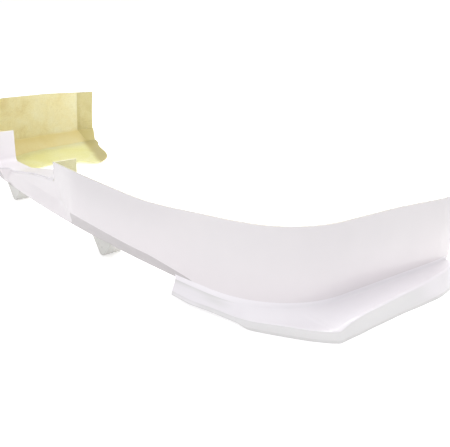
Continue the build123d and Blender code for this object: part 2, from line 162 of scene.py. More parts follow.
def bezier(start, control, end, steps):
    """Points on a quadratic curve."""
    return [(1 - t) ** 2 * start + 2 * t * (1 - t) * control + t * t * end for t in steps]


def round_chain(points, radii, corner_points=CORNER_POINTS):
    """Polyline with its corners rounded, always with the same number of points."""
    points = [np.array(p, float) for p in points]
    rounded = [points[0]]
    for before, corner, after, radius in zip(points, points[1:], points[2:], radii):
        to_before, to_after = np.linalg.norm(before - corner), np.linalg.norm(after - corner)
        cut = min(radius, to_before * 0.42, to_after * 0.42)
        start = corner + (before - corner) / to_before * cut
        end = corner + (after - corner) / to_after * cut
        rounded += bezier(start, corner, end, np.linspace(0, 1, corner_points))
    return np.array(rounded + [points[-1]])


def coarse_section(s, side):
    """Outer face from the top edge, over the tuck and crease, down the slope to the flange."""
    c = controls(s, side)
    lift = 5.0 * (1 - ease(400, 600, s))
    points = [
        (TOP_IN + c.turn, c.top_z),
        (c.middle_u + c.turn, (c.top_z + c.tuck_z) / 2),
        (c.tuck_u + c.turn, c.tuck_z + lift),
        (c.turn, CREASE_Z),
        (c.slope + c.turn, c.flange_z),
        (c.slope + c.turn + c.flange, c.flange_z),
    ]
    return round_chain(points, radii=(28, 3.2, 3.0, 9.0))


def section(s, side):
    """The outer face with its straight runs subdivided."""
    coarse = coarse_section(s, side)
    steps_at = {CORNER_POINTS * run: steps for run, steps in enumerate(RUN_STEPS)}
    fine = [coarse[0]]
    for i in range(len(coarse) - 1):
        steps = steps_at.get(i, 1)
        for k in range(1, steps + 1):
            fine.append(coarse[i] + (coarse[i + 1] - coarse[i]) * k / steps)
    return np.array(fine)


def inward_normals(chain):
    tangent = np.zeros_like(chain)
    tangent[1:-1] = chain[2:] - chain[:-2]
    tangent[0], tangent[-1] = chain[1] - chain[0], chain[-1] - chain[-2]
    tangent /= np.linalg.norm(tangent, axis=1)[:, None]
    return np.c_[-tangent[:, 1], tangent[:, 0]]


def offset(chain, distance):
    """Shift a chain towards the inside of the band, the top edge kept level."""
    normals = inward_normals(chain)
    shifted = chain + normals * distance
    shifted[0] = chain[0] + np.array([distance / normals[0][0], 0.0])
    return shifted


def place(s, side, chain):
    """Section points at a station, in metres."""
    (x, y), angle = crease_at(s)
    return np.c_[side * (x - chain[:, 0] * math.sin(angle)),
                 y + chain[:, 0] * math.cos(angle), chain[:, 1]] / 1000.0


def band_stations():
    """(s, side) from the left leg end round to the right one."""
    distances = [*np.arange(0, 400, 4.0), *np.arange(400, FRONT_END, 6.0),
                 *np.linspace(FRONT_END, CORNER_END, 44),
                 *np.linspace(CORNER_END, LEG_END, 66)[1:]]
    distances = sorted(set(round(s, 4) for s in distances))
    return [(s, -1) for s in distances[::-1] if s > 0] + [(s, 1) for s in distances]


# ---------------------------------------------------------------------------
# Hand lay-up roughness
# ---------------------------------------------------------------------------
def lattice_hash(i, j, seed):
    v = np.sin(i * 12.9898 + j * 78.233 + seed * 37.719) * 43758.5453
    return v - np.floor(v)


def value_noise(points, scale, seed):
    """Smooth repeatable 3-D noise, -0.5 to 0.5."""
    scaled = points * scale
    cell = np.floor(scaled).astype(int)
    f = scaled - cell
    f = f * f * (3 - 2 * f)
    total = np.zeros(len(scaled))
    for dx in (0, 1):
        for dy in (0, 1):
            for dz in (0, 1):
                z = cell[:, 2] + dz
                value = lattice_hash(cell[:, 0] + dx + 7.13 * z, cell[:, 1] + dy + 3.7 * z, seed)
                weight = ((f[:, 0] if dx else 1 - f[:, 0]) * (f[:, 1] if dy else 1 - f[:, 1])
                          * (f[:, 2] if dz else 1 - f[:, 2]))
                total += value * weight
    return total - 0.5


def roughness(s, side, chain, layers):
    """Bump height for each point; layers hold (pitch mm, height mm, seed)."""
    points = place(s, side, chain) * 1000
    return sum(value_noise(points, 1 / pitch, seed) * height for pitch, height, seed in layers)


# ---------------------------------------------------------------------------
# Mesh helpers
# ---------------------------------------------------------------------------
def loft(name, rings, sheet=False):
    """Closed body through equal rings in metres.

    A sheet's rings run out along one face and back along the other, and its ends are
    closed with quads; other ends are closed with one face each.
    """
    size = len(rings[0])
    last = (len(rings) - 1) * size
    faces = []
    for base in range(0, last, size):
        for j in range(size):
            k = (j + 1) % size
            faces.append((base + j, base + k, base + size + k, base + size + j))
    if sheet:
        faces += [(base + j, base + j + 1, base + size - 2 - j, base + size - 1 - j)
                  for base in (0, last) for j in range(size // 2 - 1)]
    else:
        faces += [tuple(range(size)), tuple(range(last, last + size))[::-1]]
    mesh = bpy.data.meshes.new(name)
    mesh.from_pydata([tuple(v) for v in np.vstack(rings)], [], faces)
    mesh.update()
    bm = bmesh.new()
    bm.from_mesh(mesh)
    bmesh.ops.recalc_face_normals(bm, faces=bm.faces)
    bm.to_mesh(mesh)
    bm.free()
    piece = bpy.data.objects.new(name, mesh)
    bpy.context.collection.objects.link(piece)
    return piece


def prism(name, outline, axis, start, end):
    """Outline in mm pushed along axis 1 (Y) or 2 (Z) from start to end."""
    return loft(name, [np.insert(np.array(outline), axis, level, axis=1) / 1000
                       for level in (start, end)])


def cut_away(piece, tool):
    """Subtract the tool from the piece and remove the tool."""
    modifier = piece.modifiers.new("cut", "BOOLEAN")
    modifier.operation, modifier.object, modifier.solver = "DIFFERENCE", tool, "EXACT"
    bpy.context.view_layer.objects.active = piece
    bpy.ops.object.select_all(action="DESELECT")
    piece.select_set(True)
    bpy.ops.object.modifier_apply(modifier=modifier.name)
    bpy.data.objects.remove(tool, do_unlink=True)


def shade(piece, angle):
    """Smooth faces, with sharp edges where they meet at more than angle degrees."""
    bm = bmesh.new()
    bm.from_mesh(piece.data)
    limit = math.radians(angle)
    for edge in bm.edges:
        edge.smooth = len(edge.link_faces) != 2 or edge.calc_face_angle(0) < limit
    for face in bm.faces:
        face.smooth = True
    bm.to_mesh(piece.data)
    bm.free()


def finish_piece(piece, material, replaced):
    piece.data.materials.clear()
    piece.data.materials.append(material)
    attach(piece, "root")
    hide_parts(replaced)


# ---------------------------------------------------------------------------
# Material helpers
# ---------------------------------------------------------------------------
class Material:
    """A node material; shader is the Principled node being filled in."""

    def __init__(self, name):
        self.data = bpy.data.materials.new(name)
        self.data.use_nodes = True
        self.tree = self.data.node_tree
        self.shader = self.tree.nodes["Principled BSDF"]
        self.geometry = self.node("ShaderNodeNewGeometry")

    def feed(self, node, inputs):
        """Link or set inputs; colours are given as three numbers."""
        for key, value in inputs.items():
            socket = node.inputs[key]
            if isinstance(value, bpy.types.NodeSocket):
                self.tree.links.new(value, socket)
            else:
                socket.default_value = (*value, 1) if socket.type == "RGBA" else value

    def node(self, kind, inputs=None, **settings):
        node = self.tree.nodes.new(kind)
        for key, value in settings.items():
            setattr(node, key, value)
        self.feed(node, inputs or {})
        return node

    def split(self, vector):
        """X, Y and Z of the geometry's Position (metres) or Normal."""
        return self.node("ShaderNodeSeparateXYZ", {0: self.geometry.outputs[vector]}).outputs

    def noise(self, *, scale, detail=3.0, rough=0.55, distort=0.0, vector=None):
        return self.node("ShaderNodeTexNoise", {
            "Scale": scale, "Detail": detail, "Roughness": rough, "Distortion": distort,
            "Vector": vector or self.geometry.outputs["Position"]}).outputs["Fac"]

    def ramp(self, fac, *stops):
        """Colour ramp through (position, colour) stops."""
        node = self.node("ShaderNodeValToRGB", {"Fac": fac})
        elements = node.color_ramp.elements
        for element, (position, colour) in zip((elements[0], elements[1]), (stops[0], stops[-1])):
            element.position, element.color = position, (*colour, 1)
        for position, colour in stops[1:-1]:
            elements.new(position).color = (*colour, 1)
        return node.outputs["Color"]

    def math(self, operation, *values, clamp=False):
        return self.node("ShaderNodeMath", dict(enumerate(values)),
                         operation=operation, use_clamp=clamp).outputs[0]

    def times(self, first, *others):
        for other in others:
            first = self.math("MULTIPLY", first, other)
        return first

    def plus(self, first, *others):
        for other in others:
            first = self.math("ADD", first, other)
        return first

    def minus(self, a, b):
        return self.math("SUBTRACT", a, b)

    def above(self, value, limit):
        return self.math("GREATER_THAN", value, limit)

    def below(self, value, limit):
        return self.math("LESS_THAN", value, limit)

    def spread(self, fac, *, by, base):
        return self.plus(self.times(fac, by), base)

    def wander(self, value, noise, *, by):
        """Value made uneven by a noise that is 0.5 on average."""
        return self.plus(value, self.times(self.minus(noise, 0.5), by))

    def fade(self, value, *, start, end, first=0.0, last=1.0):
        """Smooth step of value between start and end, running from first to last."""
        return self.node("ShaderNodeMapRange", {0: value, 1: start, 2: end, 3: first, 4: last},
                         interpolation_type="SMOOTHSTEP").outputs[0]

    def mix(self, fac, a, b, mode="MIX"):
        return self.node("ShaderNodeMix", {"Factor": fac, 6: a, 7: b},
                         data_type="RGBA", blend_type=mode).outputs[2]

    def bump(self, height, *, strength, distance, over=None):
        inputs = {"Strength": strength, "Distance": distance, "Height": height}
        if over is not None:
            inputs["Normal"] = over
        return self.node("ShaderNodeBump", inputs).outputs["Normal"]

    def fibres(self, *, cell, fine, seed):
        """Chopped-strand glass: short strands whose direction changes from patch to patch."""
        moved = self.node("ShaderNodeVectorMath", {
            0: self.geometry.outputs["Position"],
            1: (seed * 1.7, seed * 0.9, seed * 2.3)}, operation="ADD").outputs[0]
        patches = self.node("ShaderNodeTexVoronoi", {"Scale": cell, "Vector": moved})
        shades = self.node("ShaderNodeSeparateColor", {"Color": patches.outputs["Color"]})
        full_turn = 6.2832
        turned = self.node("ShaderNodeVectorRotate", {
            "Vector": moved, "Angle": self.times(shades.outputs[0], full_turn),
            "Axis": (0.55, 0.62, 0.56)}, rotation_type="AXIS_ANGLE")
        stretched = self.node("ShaderNodeMapping", {
            "Scale": (fine, fine * 0.05, fine), "Vector": turned.outputs["Vector"]})
        return self.noise(scale=1.0, detail=2.0, rough=0.5, vector=stretched.outputs["Vector"])

    def mix_shaders(self, fac, a, b):
        """Send a mix of two shader nodes to the surface."""
        mixed = self.node("ShaderNodeMixShader", {0: fac, 1: a.outputs[0], 2: b.outputs[0]})
        self.feed(self.tree.nodes["Material Output"], {"Surface": mixed.outputs[0]})


# ---------------------------------------------------------------------------
# Materials; heights and distances in them are in metres
# ---------------------------------------------------------------------------
def gelcoat_look(mat, light, dark, rough=0.16, coat=0.6, tuck=True, rim=None):
    """Sprayed white gelcoat on mat's shader, with painted shade in its colour; returns its
    colour, not yet linked.
    """
    middle = tuple((a + b) / 2 for a, b in zip(light, dark))
    base = mat.ramp(mat.noise(scale=3.2, detail=4.0, rough=0.6),
                    (0.30, dark), (0.52, middle), (0.72, light))
    drift = mat.ramp(mat.noise(scale=1.1, detail=2.0, rough=0.5),
                     (0.35, (1.0, 0.985, 0.988)), (0.65, (0.985, 0.985, 1.0)))
    colour = mat.mix(0.8, base, drift, "MULTIPLY")
    dust = mat.times(mat.above(mat.noise(scale=260.0, rough=0.7), 0.66), 0.10)
    colour = mat.mix(dust, colour, (0.74, 0.71, 0.67))
    # painted light and shade: whiter low down, greyer towards the top edge
    z = mat.split("Position")["Z"]
    rise = mat.fade(mat.wander(z, mat.noise(scale=5.0), by=0.05), start=0.035, end=0.185)
    painted_height_shade = mat.mix(rise, (1.03, 1.022, 1.03), (0.97, 0.978, 0.978))
    colour = mat.mix(1.0, colour, painted_height_shade, "MULTIPLY")
    if rim:
        # painted shade: the outer edge faces, darker than the lit tops
        painted_side_shade = mat.fade(mat.split("Normal")["Z"], start=0.30, end=0.62, first=1.0, last=0.0)
        colour = mat.mix(mat.times(painted_side_shade, mat.below(z, 0.0372)), colour, rim)
    if tuck:
        # painted shade, patchy, where the surface above the crease faces the ground
        down = mat.below(mat.split("Normal")["Z"], -0.25)
        patchy = mat.spread(mat.noise(scale=14.0, detail=4.0), by=0.25, base=0.72)
        painted_tuck_shade = mat.times(down, mat.above(z, 0.034), patchy)
        colour = mat.mix(painted_tuck_shade, colour, (0.50, 0.47, 0.48))
    # scuffs along the lowest edges
    scuffs = mat.times(mat.below(z, 0.006), mat.noise(scale=60.0, detail=4.0, rough=0.7), 0.5)
    colour = mat.mix(scuffs, colour, (0.55, 0.54, 0.52))
    waves = mat.bump(mat.noise(scale=7.0, detail=2.0, rough=0.5), strength=0.10, distance=0.004)
    peel = mat.bump(mat.noise(scale=420.0, detail=2.0, rough=0.5),
                    strength=0.10, distance=0.0004, over=waves)
    print_through = mat.bump(mat.fibres(cell=26.0, fine=520.0, seed=3.0),
                             strength=0.05, distance=0.0004, over=peel)
    mat.feed(mat.shader, {
        "Roughness": mat.spread(mat.noise(scale=9.0, detail=4.0, rough=0.6),
                                by=0.16, base=rough - 0.06),
        "Coat Weight": coat, "Coat Roughness": 0.08, "IOR": 1.5,
        "Normal": print_through, "Coat Normal": peel})
    return colour


def gelcoat(name, **look):
    mat = Material(name)
    mat.feed(mat.shader, {"Base Color": gelcoat_look(mat, **look)})
    return mat.data


def rake_margin(mat, position):
    """Mask of a band along the raked end of each leg's slope and floor."""
    ax, ay = leg_point(1, RAKE_NEAR, LEG_LENGTH - RAKE_GAP)
    bx, by = leg_point(1, RAKE_FAR, LEG_LENGTH - RAKE_GAP - RAKE_RUN)
    length = math.hypot(bx - ax, by - ay)
    nx, ny = (by - ay) / length, -(bx - ax) / length   # across the rake line, towards +Y
    line = (nx * ax + ny * ay) / 1000.0
    across = mat.plus(mat.times(mat.math("ABSOLUTE", position["X"]), nx),
                      mat.times(position["Y"], ny))
    distance = mat.wander(mat.minus(line, across), mat.noise(scale=30.0), by=0.012)
    margin = mat.fade(distance, start=0.040, end=0.066, first=0.85, last=0.0)
    return mat.times(margin, mat.below(position["Z"], 0.036), mat.above(position["Y"], 0.10))


def band_edges(mat, colour, position, dark):
    """Colour changes on the band's slope, crease and top edge, with painted shade and a painted
    highlight among them.
    """
    facing_up = mat.split("Normal")["Z"]
    z = position["Z"]
    # painted shade: the slope is darker than the wall
    slope = mat.times(mat.above(facing_up, 0.3), mat.below(z, 0.040), 0.5)
    colour = mat.mix(slope, colour, dark)
    # resin pooled along the inside of the crease, with painted shade in it: darker near the
    # crease
    from_crease = mat.math("ABSOLUTE", mat.minus(z, 0.036))
    crease_resin_and_shade = mat.fade(from_crease, start=0.0, end=0.018, first=0.55, last=0.0)
    colour = mat.mix(crease_resin_and_shade, colour, dark)
    # sawn top edge: bare and brown at the far left; elsewhere near-white, for gelcoat over the
    # edge and a painted highlight along it
    top = mat.times(mat.above(facing_up, 0.85), mat.above(z, 0.155))
    bare = mat.below(position["X"], -0.62)
    colour = mat.mix(mat.times(top, bare), colour, (0.32, 0.27, 0.12))
    return mat.mix(mat.times(top, mat.minus(1.0, bare)), colour, (0.90, 0.89, 0.87))


def laminate_look(mat, dark, middle, light, rough=0.38, edges=False):
    """Chopped-strand laminate on mat's shader; returns its colour and normal."""
    fibres = mat.times(mat.plus(mat.fibres(cell=34.0, fine=620.0, seed=1.0),
                                mat.fibres(cell=47.0, fine=800.0, seed=4.0),
                                mat.fibres(cell=23.0, fine=430.0, seed=7.0)), 1 / 3)
    patches = mat.noise(scale=9.0, detail=5.0, rough=0.62, distort=0.4)
    broad = mat.noise(scale=2.6, rough=0.5)
    tone = mat.plus(mat.times(patches, 0.55), mat.times(broad, 0.45))
    colour = mat.ramp(tone, (0.36, dark), (0.49, middle), (0.63, light))
    strands = mat.ramp(fibres, (0.40, (0.78, 0.76, 0.66)), (0.50, (0.95, 0.95, 0.92)),
                       (0.60, (1.0, 1.0, 1.0)))
    colour = mat.mix(0.5, colour, strands, "MULTIPLY")
    # pale flecks, in patches
    cells = mat.node("ShaderNodeTexVoronoi", {
        "Scale": 150.0, "Vector": mat.geometry.outputs["Position"]})
    flecks = mat.times(mat.below(cells.outputs["Distance"], 0.13),
                       mat.above(mat.noise(scale=30.0, detail=2.0), 0.56), 0.55)
    colour = mat.mix(flecks, colour, (0.98, 0.97, 0.88))
    position = mat.split("Position")
    colour = mat.mix(rake_margin(mat, position), colour, (0.60, 0.525, 0.215))
    if edges:
        colour = band_edges(mat, colour, position, dark)
    strand_bump = mat.bump(fibres, strength=0.55, distance=0.0010)
    normal = mat.bump(mat.noise(scale=55.0, detail=4.0, rough=0.6),
                      strength=0.35, distance=0.0020, over=strand_bump)
    mat.feed(mat.shader, {
        "Base Color": colour, "Roughness": mat.spread(fibres, by=0.35, base=rough - 0.17),
        "Coat Weight": 0.25, "Coat Roughness": 0.22, "Normal": normal})
    return colour, normal


def laminate(name, translucent, **look):
    """Laminate that lets some light through."""
    mat = Material(name)
    colour, normal = laminate_look(mat, **look)
    glow = mat.node("ShaderNodeBsdfTranslucent", {"Color": colour, "Normal": normal})
    mat.mix_shaders(translucent, mat.shader, glow)
    return mat.data


def return_flange(name):
    """White on the notch side, bare laminate on the back of the flange."""
    mat = Material(name)
    laminate_look(mat, dark=(0.50, 0.47, 0.28), middle=(0.63, 0.61, 0.40),
                  light=(0.74, 0.72, 0.50), rough=0.40)
    raw = mat.shader
    mat.shader = mat.node("ShaderNodeBsdfPrincipled")
    white = gelcoat_look(mat, light=(0.79, 0.765, 0.785), dark=(0.74, 0.715, 0.74),
                         rough=0.42, coat=0.04, tuck=False)
    normal, position = mat.split("Normal"), mat.split("Position")
    right_back = mat.times(mat.above(normal["X"], 0.4), mat.above(position["X"], -0.1))
    left_back = mat.times(mat.below(normal["X"], -0.4), mat.below(position["X"], -0.3))
    under = mat.below(normal["Z"], -0.3)
    bare = mat.math("ADD", mat.plus(right_back, left_back), under, clamp=True)
    # cream on the faces turned to +Y and on the top edge
    top = mat.times(mat.above(normal["Z"], 0.85), mat.above(position["Z"], 0.165))
    rim = mat.math("ADD", mat.above(normal["Y"], 0.7), top, clamp=True)
    mat.feed(mat.shader, {"Base Color": mat.mix(rim, white, (0.93, 0.90, 0.74))})
    mat.mix_shaders(bare, mat.shader, raw)
    return mat.data


def metal(name, dark, light, rough):
    mat = Material(name)
    mat.feed(mat.shader, {
        "Base Color": mat.ramp(mat.noise(scale=30.0, detail=5.0, rough=0.65),
                               (0.35, dark), (0.65, light)),
        "Metallic": 1.0,
        "Roughness": mat.spread(mat.noise(scale=90.0, detail=4.0), by=0.3, base=rough),
        "Normal": mat.bump(mat.noise(scale=600.0), strength=0.2, distance=0.0004)})
    return mat.data


def matte(name, dark, light, rough, grain):
    mat = Material(name)
    mat.feed(mat.shader, {
        "Base Color": mat.ramp(mat.noise(scale=grain * 0.2, detail=5.0, rough=0.65),
                               (0.3, dark), (0.7, light)),
        "Roughness": mat.spread(mat.noise(scale=grain), by=0.2, base=rough),
        "Normal": mat.bump(mat.noise(scale=grain, detail=4.0, rough=0.6),
                           strength=0.5, distance=0.0008)})
    return mat.data


GELCOAT = gelcoat("gelcoat_white", light=(0.855, 0.815, 0.83), dark=(0.81, 0.775, 0.79))
# painted light: the winglets get a lighter copy of the band's gelcoat for the top light on their
# upward faces, with painted shade on their edge faces
WINGLET_TOPLIT_GELCOAT = gelcoat("gelcoat_winglet_toplit", light=(0.955, 0.935, 0.965),
                          dark=(0.93, 0.91, 0.94), rough=0.20, coat=0.4, tuck=False,
                          rim=(0.80, 0.79, 0.80))
# painted shade: the strakes get a grey-beige copy of the gelcoat, darkened for the shade they
# hang in under the band
STRAKE_SHADED_GELCOAT = gelcoat("gelcoat_strake_shaded", light=(0.70, 0.70, 0.66), dark=(0.58, 0.58, 0.54),
                         rough=0.24, tuck=False)
RETURN_FLANGE = return_flange("return_flange")
LAMINATE = laminate("laminate_yellow", dark=(0.78, 0.67, 0.30), middle=(0.92, 0.86, 0.54),
                    light=(0.97, 0.95, 0.72), translucent=0.42, edges=True)
FLOOR_LAMINATE = laminate("laminate_floor", dark=(0.88, 0.86, 0.46), middle=(0.93, 0.92, 0.58),
                          light=(0.97, 0.965, 0.74), translucent=0.42)
DOUBLER_LAMINATE = laminate("laminate_doubler", dark=(0.52, 0.43, 0.17),
                            middle=(0.64, 0.56, 0.25), light=(0.74, 0.68, 0.36),
                            translucent=0.28, rough=0.34)
STEEL = metal("zinc_steel", dark=(0.55, 0.56, 0.58), light=(0.72, 0.73, 0.75), rough=0.26)
SPRING_STEEL = metal("spring_steel", dark=(0.16, 0.165, 0.18), light=(0.28, 0.285, 0.30),
                     rough=0.38)
PASTE = matte("bond_paste", dark=(0.60, 0.57, 0.47), light=(0.72, 0.69, 0.60),
              rough=0.55, grain=160.0)
FOAM = matte("foam_tape", dark=(0.055, 0.055, 0.06), light=(0.10, 0.10, 0.105),
             rough=0.85, grain=420.0)


# ---------------------------------------------------------------------------
# The band: a gelcoat skin over a laminate shell
# ---------------------------------------------------------------------------
LAMINATE_ROUGHNESS = ((9.0, 0.8, 3), (3.2, 0.8 * 0.5, 8), (42.0, 0.8 * 0.9, 12))


def band_layer(name, outer, inner, layers=()):
    """Sheet between two depths below the outer face, rough on its inner side."""
    rings = []
    for s, side in band_stations():
        face = section(s, side)
        outside, inside = offset(face, outer), offset(face, inner)
        if layers:
            bump = roughness(s, side, inside, layers)
            bump[:2] *= 0.2   # calmer at the top edge
            inside = inside + inward_normals(inside) * bump[:, None]
        rings.append(np.vstack([place(s, side, outside), place(s, side, inside)[::-1]]))
    return loft(name, rings, sheet=True)


def notch_tool():
    """Notch seen from the front in X and Z, larger than the opening by the wall."""
    above_band = 240
    left, right = NOTCH_LEFT - WALL, NOTCH_RIGHT + WALL
    left_z, right_z = NOTCH_LEFT_Z - WALL, NOTCH_RIGHT_Z - WALL
    points = [(left, above_band), (left, left_z), (-248, left_z + 3), (-108, right_z - 12),
              (-22, right_z - 1), (right, right_z), (right, above_band)]
    outline = round_chain(points, radii=(18 + WALL, 60, 60, 40, 18 + WALL), corner_points=7)
    return prism("notch_tool", outline, axis=1, start=-330, end=-190)


def rake_tool(side, near=RAKE_NEAR, top=37.0):
    """Cuts the slope and floor back on a rake at a leg end, with an easy S curve."""
    points = [(near + (RAKE_FAR - near) * t,
               LEG_LENGTH - RAKE_GAP - RAKE_RUN * t
               - RAKE_CURVE * math.sin(math.pi * min(1, t * 2.2)) ** 2)
              for t in np.linspace(0, 1, 25)]
    points += [(RAKE_FAR, LEG_LENGTH + 60), (near, LEG_LENGTH + 60)]
    outline = [leg_point(side, inward, along) for inward, along in points]
    return prism("rake_tool", outline, axis=2, start=-5, end=top)


gelcoat_band = band_layer("gelcoat_band", 0.0, SKIN)
laminate_band = band_layer("laminate_band", SKIN + 0.01, WALL, LAMINATE_ROUGHNESS)
for layer in (gelcoat_band, laminate_band):
    cut_away(layer, notch_tool())
    for side in (-1, 1):
        cut_away(layer, rake_tool(side))
    shade(layer, 30)
finish_piece(gelcoat_band, GELCOAT, "gelcoat_skin")
finish_piece(laminate_band, LAMINATE, "laminate_shell")


# ---------------------------------------------------------------------------
# Corner winglets
# ---------------------------------------------------------------------------
# Part of the crease; place on it (front: mm in x, corner: fraction, leg: mm along);
# x, y, z of the winglet's top edge; x, y, z of its bottom edge (right side)
WINGLET_STATIONS = [
    ("front", 478.4, 485, -272, 16.5, 487, -275, 8.5),
    ("front", 525.0, 531, -268, 16.5, 535, -271, 8.0),
    ("front", 558.0, 581, -254, 16.5, 584, -257, 7.5),
    ("corner", 0.12, 634, -241, 17.0, 640, -244, 7.0),
    ("corner", 0.22, 664, -232, 18.5, 668, -234, 0.0),
    ("corner", 0.34, 698, -213, 20.5, 702, -214, 0.0),
    ("corner", 0.44, 726, -194, 21.5, 731, -195, 0.0),
    ("corner", 0.52, 756, -173, 21.5, 761, -174, 0.0),
    ("corner", 0.60, 787, -147, 21.5, 794, -144, 0.0),
    ("corner", 0.66, 795, -135, 23.0, 802, -132, 0.0),
    ("corner", 0.74, 797, -113, 29.0, 804, -110, 0.0),
    ("corner", 0.86, 801, -84, 36.0, 807, -80, 0.0),
    ("leg", 0.0, 803, -52, 38.5, 809, -48, 0.0),
    ("leg", 50.0, 805, -6, 38.8, 813, -3, 0.0),
    ("leg", 110.0, 806, 50, 38.8, 818, 53, 0.0),
    ("leg", 175.0, 808, 112, 38.8, 826, 114, 0.0),
    ("leg", 240.0, 808, 176, 38.8, 832, 180, 0.0),
    ("leg", 290.0, 807, 225, 38.8, 828, 228, 0.0),
    ("leg", 322.0, 803, 262, 38.8, 820, 264, 2.0),
    ("leg", 350.0, 797, 292, 38.8, 804, 294, 8.0),
]
WINGLET_STEPS = 12        # rings from one station to the next
WINGLET_THICKNESS = 3.5


def crease_distance(part, where):
    if part == "front":
        return FRONT_RADIUS * math.asin(where / FRONT_RADIUS)
    if part == "corner":
        return FRONT_END + (CORNER_END - FRONT_END) * where
    return CORNER_END + where


def smooth_column(values):
    """Cubic through evenly spaced values, without overshoot between them."""
    values = np.array(values, float)
    gaps = len(values) - 1
    q = np.linspace(0, gaps, WINGLET_STEPS * gaps + 1)
    d = np.diff(values)
    total = d[1:] + d[:-1]
    inner = np.where(d[1:] * d[:-1] > 0,
                     2 * d[1:] * d[:-1] / np.where(total == 0, 1, total), 0)
    slope = np.r_[d[0], inner, d[-1]]
    i = np.clip(np.ceil(q).astype(int) - 1, 0, gaps - 1)
    t = q - i
    return ((2 * t ** 3 - 3 * t ** 2 + 1) * values[i] + (t ** 3 - 2 * t ** 2 + t) * slope[i]
            + (-2 * t ** 3 + 3 * t ** 2) * values[i + 1] + (t ** 3 - t ** 2) * slope[i + 1])


def winglet_ring(side, s, top_x, top_y, top_z, low_x, low_y, low_z):
    """Closed section, drawn outwards from the crease towards the bottom edge."""
    (x, y), angle = crease_at(s)
    c = controls(s, side)
    x, y = x - c.turn * math.sin(angle), y + c.turn * math.cos(angle)
    dx, dy = low_x - x, low_y - y
    reach = math.hypot(dx, dy)
    dx, dy = dx / reach, dy / reach
    top_reach = (top_x - x) * dx + (top_y - y) * dy
    root_z = CREASE_Z - 0.4
    top_z = min(top_z, root_z)
    # fillet, starting on the wall a little above the crease
    fillet_z = CREASE_Z + min(9.0, 0.5 * reach)
    wall = coarse_section(s, side)[:14]
    wall = wall[np.argsort(wall[:, 1])]
    wall_u = np.interp(fillet_z, wall[:, 1], wall[:, 0]) - c.turn
    squareness = max(0.35, dx * math.sin(angle) - dy * math.cos(angle))
    lean = (top_z - root_z) / top_reach
    fillet = min(10.0, 0.55 * top_reach)
    points = bezier(np.array([-wall_u / squareness - 0.05, fillet_z]),
                    np.array([0.0, CREASE_Z - 0.2]),
                    np.array([fillet, root_z + lean * fillet]), np.linspace(0, 1, 9))
    # top face, sagging slightly
    for t in np.linspace(0, 1, 10)[1:]:
        out = fillet + (top_reach - 1.6 - fillet) * t
        sag = 0.035 * top_reach * math.sin(math.pi * t) * min(1, top_reach / 30)
        points.append(np.array([out, root_z + lean * out - sag]))
    # rounded top edge, outer face, rounded bottom edge
    drop = top_z - low_z
    face_top = np.array([top_reach + (reach - top_reach) * 0.12, top_z - drop * 0.12])
    face_low = np.array([reach - (reach - top_reach) * 0.06, low_z + drop * 0.06 + 0.4])
    points += bezier(points[-1], np.array([top_reach + 0.1, top_z + 0.1]), face_top,
                     np.linspace(0, 1, 5)[1:])
    points += [face_top + (face_low - face_top) * t for t in (0.33, 0.66, 1.0)]
    points += bezier(points[-1], np.array([reach, low_z]), np.array([reach - 2.0, low_z]),
                     (0.35, 0.7, 1.0))
    # underside, then back along the inside to the crease
    thick = WINGLET_THICKNESS
    back = c.slope / (CREASE_Z - c.flange_z) * 4.4 / squareness
    points += [(reach * 0.5 - 13.0, low_z), (-26.0, low_z), (-26.0, low_z + thick),
               (reach - 2.6 - thick, low_z + thick),
               (min(top_reach - 2.6 - thick, reach - 3 - thick),
                max(top_z - thick - 1.5, low_z + thick + 1.5)),
               (-back * 0.8, root_z - thick)]
    return np.array([(side * (x + out * dx), y + out * dy, z) for out, z in points]) / 1000.0


def winglet(name, side):
    rows = [(crease_distance(part, where), *edges) for part, where, *edges in WINGLET_STATIONS]
    columns = [smooth_column(column) for column in zip(*rows)]
    return loft(name, [winglet_ring(side, *values) for values in zip(*columns)])


for side, tag in ((-1, "left"), (1, "right")):
    piece = winglet(f"winglet_{tag}_formed", side)
    shade(piece, 38)
    finish_piece(piece, WINGLET_TOPLIT_GELCOAT, f"winglet_{tag}")


# ---------------------------------------------------------------------------
# Doublers: extra mat inside the last stretch of each leg, on wall and slope
# ---------------------------------------------------------------------------
def doubler(name, side):
    flange_points = RUN_STEPS[-1] + 1   # left uncovered
    layers = ((10.0, 0.7, 21 + side), (3.5, 0.3, 31 + side))
    rings = []
    for along in np.linspace(DOUBLER_START, LEG_LENGTH - 0.8, 34):
        s = CORNER_END + along
        face = section(s, side)
        full = ease(DOUBLER_START, DOUBLER_START + 14, along)
        ragged = 0.5 * math.sin(along * 0.9) * (1 - full)
        outside = offset(face, WALL + 0.15)[:-flange_points]
        bump = roughness(s, side, outside, layers)
        inside = offset(face, WALL + 0.5 + 2.0 * full)[:-flange_points]
        inside = inside + np.c_[bump, bump * 0.2]
        outside[0, 1] -= 1.2 + ragged
        inside[0, 1] -= 2.0 + ragged
        rings.append(np.vstack([place(s, side, outside), place(s, side, inside)[::-1]]))
    return loft(name, rings, sheet=True)


for side, tag in ((-1, "left"), (1, "right")):
    piece = doubler(f"doubler_{tag}_laid_up", side)
    cut_away(piece, rake_tool(side, DOUBLER_RAKE_NEAR, top=60.0))
    shade(piece, 34)
    finish_piece(piece, DOUBLER_LAMINATE, f"end_doubler_{tag}")

